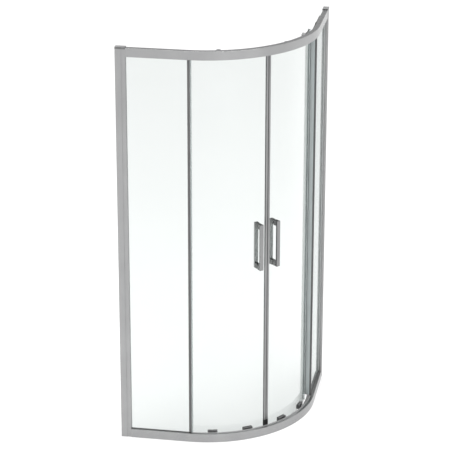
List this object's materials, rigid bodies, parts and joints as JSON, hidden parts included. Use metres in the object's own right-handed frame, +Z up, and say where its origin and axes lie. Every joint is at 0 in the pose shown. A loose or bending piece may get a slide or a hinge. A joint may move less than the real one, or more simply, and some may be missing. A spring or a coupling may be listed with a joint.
{
  "type": "quadrant shower enclosure",
  "caption": "Corner shower enclosure with a quarter-round front: fixed flat glass panels at the walls and curved sliding doors on rollers that meet at the middle.",
  "frame": {"origin": "floor level, middle of the square footprint", "axes": "+Z up; the room's walls are at -X and +Y, the quarter-round front faces +X and -Y"},
  "size_m": [0.89, 0.89, 2.01],
  "materials": {
    "frame_aluminium": "satin anodised silver",
    "door_aluminium": "satin anodised silver",
    "handle_chrome": "satin chrome",
    "steel": "plain stainless",
    "glass": "clear toughened glass",
    "clear_plastic": "translucent",
    "grey_plastic": "moulded, fine grain",
    "infill_plastic": "extruded, satin",
    "black_plastic": "moulded, fine grain",
    "wheel_plastic": "hard smooth plastic",
    "grey_rubber": "soft extruded seal",
    "clear_rubber": "translucent soft seal",
    "black_rubber": "moulded rubber",
    "magnet_rubber": "flexible magnetic strip"
  },
  "bodies": {
    "frame": {"top_rail": "frame_aluminium", "bottom_rail": "frame_aluminium", "rail_infills": "infill_plastic", "rail_connectors": "grey_plastic", "channel_caps": "grey_plastic", "side_screws": "steel", "side_gaskets": "grey_rubber", "bottom_gaskets": "grey_rubber", "top_gaskets": "clear_rubber", "edge_seals": "grey_rubber", "door_stops": "black_rubber", "left_wall_channel": "frame_aluminium", "left_glass_profile": "frame_aluminium", "left_fixed_glass": "glass", "right_wall_channel": "frame_aluminium", "right_glass_profile": "frame_aluminium", "right_fixed_glass": "glass"},
    "left_door": {"left_door_glass": "glass", "left_leading_profile": "door_aluminium", "left_leading_foot": "black_plastic", "left_magnet_strip": "magnet_rubber", "left_trailing_profile": "clear_plastic", "left_top_brackets": "grey_plastic", "left_top_bolts": "steel", "left_bottom_housings": "grey_plastic", "left_bottom_clamps": "grey_plastic", "left_release_spring_trailing": "steel", "left_release_spring_leading": "steel", "left_handle_outer_bar": "handle_chrome", "left_handle_inner_bar": "handle_chrome", "left_handle_posts": "handle_chrome", "left_handle_washers": "clear_rubber"},
    "left_release_slider_trailing": {"left_release_slider_trailing": "grey_plastic"},
    "left_release_slider_leading": {"left_release_slider_leading": "grey_plastic"},
    "left_top_wheel_trailing": {"left_top_wheel_trailing": "wheel_plastic"},
    "left_top_wheel_leading": {"left_top_wheel_leading": "wheel_plastic"},
    "left_bottom_wheel_trailing": {"left_bottom_wheel_trailing": "wheel_plastic"},
    "left_bottom_wheel_leading": {"left_bottom_wheel_leading": "wheel_plastic"},
    "right_door": {"right_door_glass": "glass", "right_leading_profile": "door_aluminium", "right_leading_foot": "black_plastic", "right_magnet_strip": "magnet_rubber", "right_trailing_profile": "clear_plastic", "right_top_brackets": "grey_plastic", "right_top_bolts": "steel", "right_bottom_housings": "grey_plastic", "right_bottom_clamps": "grey_plastic", "right_release_spring_trailing": "steel", "right_release_spring_leading": "steel", "right_handle_outer_bar": "handle_chrome", "right_handle_inner_bar": "handle_chrome", "right_handle_posts": "handle_chrome", "right_handle_washers": "clear_rubber"},
    "right_release_slider_trailing": {"right_release_slider_trailing": "grey_plastic"},
    "right_release_slider_leading": {"right_release_slider_leading": "grey_plastic"},
    "right_top_wheel_trailing": {"right_top_wheel_trailing": "wheel_plastic"},
    "right_top_wheel_leading": {"right_top_wheel_leading": "wheel_plastic"},
    "right_bottom_wheel_trailing": {"right_bottom_wheel_trailing": "wheel_plastic"},
    "right_bottom_wheel_leading": {"right_bottom_wheel_leading": "wheel_plastic"}
  },
  "joints": [
    {"name": "left_door_slide", "type": "hinge", "parent": "frame", "child": "left_door", "pos_m": [-0.1286, 0.1972, 1.005], "axis": [0, 0, -1], "range_deg": [0, 21.64]},
    {"name": "left_release_trailing", "type": "slide", "parent": "left_door", "child": "left_release_slider_trailing", "axis": [0, 0, 1], "range_m": [0, 0.005], "stiffness_N_per_m": 1500, "springref_m": -0.004, "deforming": ["left_release_spring_trailing"]},
    {"name": "left_release_leading", "type": "slide", "parent": "left_door", "child": "left_release_slider_leading", "axis": [0, 0, 1], "range_m": [0, 0.005], "stiffness_N_per_m": 1500, "springref_m": -0.004, "deforming": ["left_release_spring_leading"]},
    {"name": "left_top_wheel_trailing_spin", "type": "hinge", "parent": "left_door", "child": "left_top_wheel_trailing", "pos_m": [0.03778, -0.39293, 1.9881], "axis": [0.2756, -0.9613, 0], "range_deg": [0, 1040]},
    {"name": "left_top_wheel_leading_spin", "type": "hinge", "parent": "left_door", "child": "left_top_wheel_leading", "pos_m": [0.17712, -0.32943, 1.9881], "axis": [0.5446, -0.8387, 0], "range_deg": [0, 1030]},
    {"name": "left_bottom_wheel_trailing_spin", "type": "hinge", "parent": "left_release_slider_trailing", "child": "left_bottom_wheel_trailing", "pos_m": [0.008, -0.40053, 0.0261], "axis": [0.2181, -0.9759, 0], "range_deg": [0, 1220]},
    {"name": "left_bottom_wheel_leading_spin", "type": "hinge", "parent": "left_release_slider_leading", "child": "left_bottom_wheel_leading", "pos_m": [0.17712, -0.32943, 0.0261], "axis": [0.5446, -0.8387, 0], "range_deg": [0, 1210]},
    {"name": "right_door_slide", "type": "hinge", "parent": "frame", "child": "right_door", "pos_m": [-0.1972, 0.1286, 1.005], "axis": [0, 0, 1], "range_deg": [0, 21.64]},
    {"name": "right_release_trailing", "type": "slide", "parent": "right_door", "child": "right_release_slider_trailing", "axis": [0, 0, 1], "range_m": [0, 0.005], "stiffness_N_per_m": 1500, "springref_m": -0.004, "deforming": ["right_release_spring_trailing"]},
    {"name": "right_release_leading", "type": "slide", "parent": "right_door", "child": "right_release_slider_leading", "axis": [0, 0, 1], "range_m": [0, 0.005], "stiffness_N_per_m": 1500, "springref_m": -0.004, "deforming": ["right_release_spring_leading"]},
    {"name": "right_top_wheel_trailing_spin", "type": "hinge", "parent": "right_door", "child": "right_top_wheel_trailing", "pos_m": [0.39293, -0.03778, 1.9881], "axis": [0.9613, -0.2756, 0], "range_deg": [-1040, 0]},
    {"name": "right_top_wheel_leading_spin", "type": "hinge", "parent": "right_door", "child": "right_top_wheel_leading", "pos_m": [0.32943, -0.17712, 1.9881], "axis": [0.8387, -0.5446, 0], "range_deg": [-1030, 0]},
    {"name": "right_bottom_wheel_trailing_spin", "type": "hinge", "parent": "right_release_slider_trailing", "child": "right_bottom_wheel_trailing", "pos_m": [0.40053, -0.008, 0.0261], "axis": [0.9759, -0.2181, 0], "range_deg": [-1220, 0]},
    {"name": "right_bottom_wheel_leading_spin", "type": "hinge", "parent": "right_release_slider_leading", "child": "right_bottom_wheel_leading", "pos_m": [0.32943, -0.17712, 0.0261], "axis": [0.8387, -0.5446, 0], "range_deg": [-1210, 0]}
  ],
  "couplings": [
    {"joint": "left_top_wheel_trailing_spin", "follows": "left_door_slide", "ratio": 47.165},
    {"joint": "left_top_wheel_leading_spin", "follows": "left_door_slide", "ratio": 46.841},
    {"joint": "left_bottom_wheel_trailing_spin", "follows": "left_door_slide", "ratio": 55.74},
    {"joint": "left_bottom_wheel_leading_spin", "follows": "left_door_slide", "ratio": 55.358},
    {"joint": "right_top_wheel_trailing_spin", "follows": "right_door_slide", "ratio": -47.165},
    {"joint": "right_top_wheel_leading_spin", "follows": "right_door_slide", "ratio": -46.841},
    {"joint": "right_bottom_wheel_trailing_spin", "follows": "right_door_slide", "ratio": -55.74},
    {"joint": "right_bottom_wheel_leading_spin", "follows": "right_door_slide", "ratio": -55.358}
  ]
}
